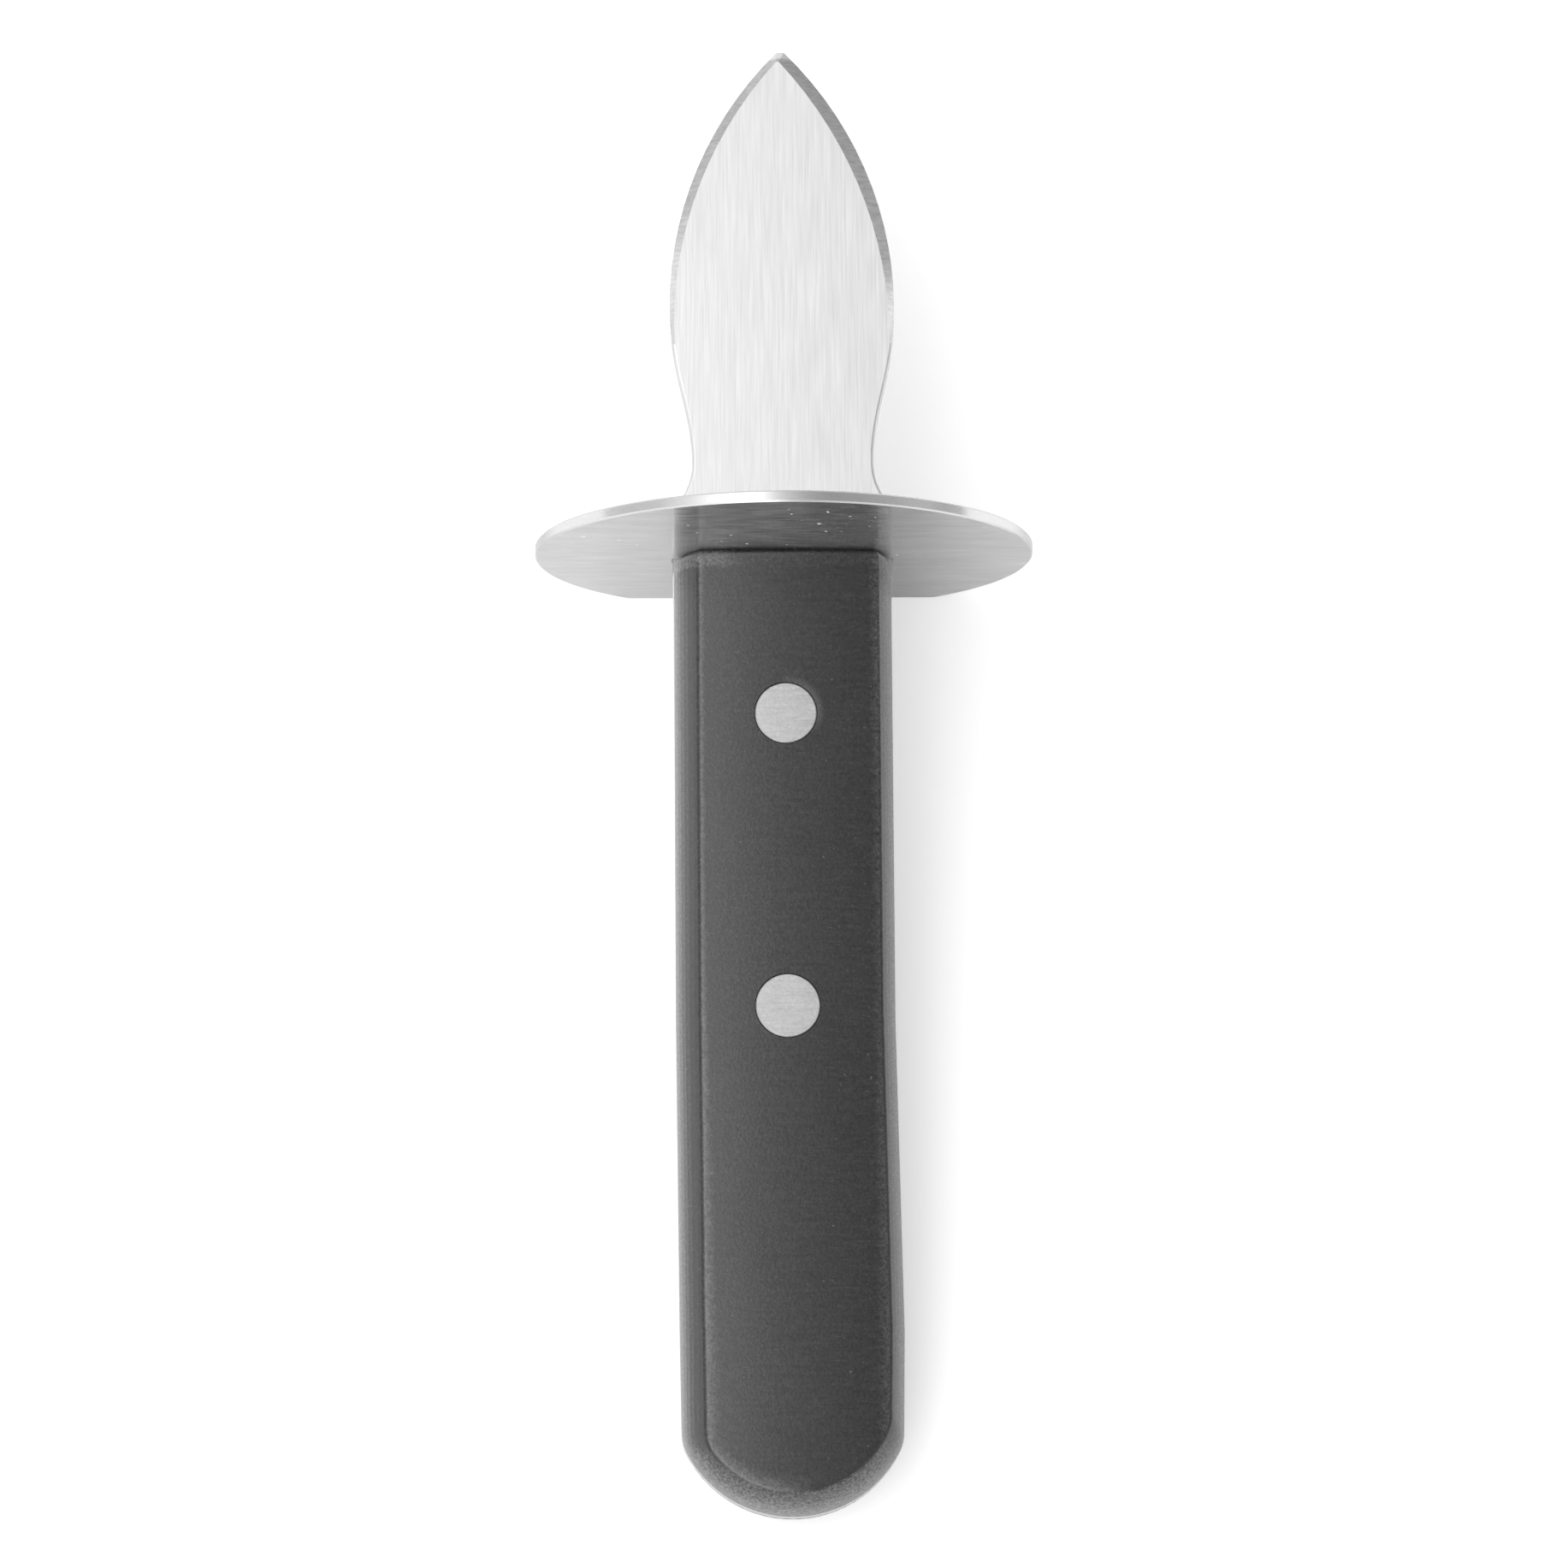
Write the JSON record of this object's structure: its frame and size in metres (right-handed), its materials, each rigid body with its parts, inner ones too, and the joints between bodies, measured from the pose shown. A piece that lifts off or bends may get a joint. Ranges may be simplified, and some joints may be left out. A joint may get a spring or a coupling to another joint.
{
  "type": "oyster knife",
  "caption": "Oyster knife: short leaf-shaped blade with full tang, round steel guard with a flat, and straight riveted plastic handle scales with a rounded butt.",
  "frame": {"origin": "middle of the flat edge of the guard, halfway through the guard's thickness", "axes": "+Y along the knife towards the tip of the blade, +Z square to the blade's face and away from the guard's flat, +X to the right"},
  "size_m": [0.065, 0.1946, 0.0576],
  "materials": {
    "blade_steel": "fine brushing along the blade, ground bevels",
    "guard_steel": "straight brushing across the disc",
    "scale_plastic": "buffed satin black",
    "rivet_metal": "satin, ground flush"
  },
  "bodies": {
    "root": {"blade": "blade_steel", "guard": "guard_steel", "upper_scale": "scale_plastic", "lower_scale": "scale_plastic", "front_rivet_post": "rivet_metal", "front_rivet_tube": "rivet_metal", "rear_rivet_post": "rivet_metal", "rear_rivet_tube": "rivet_metal"}
  },
  "joints": []
}
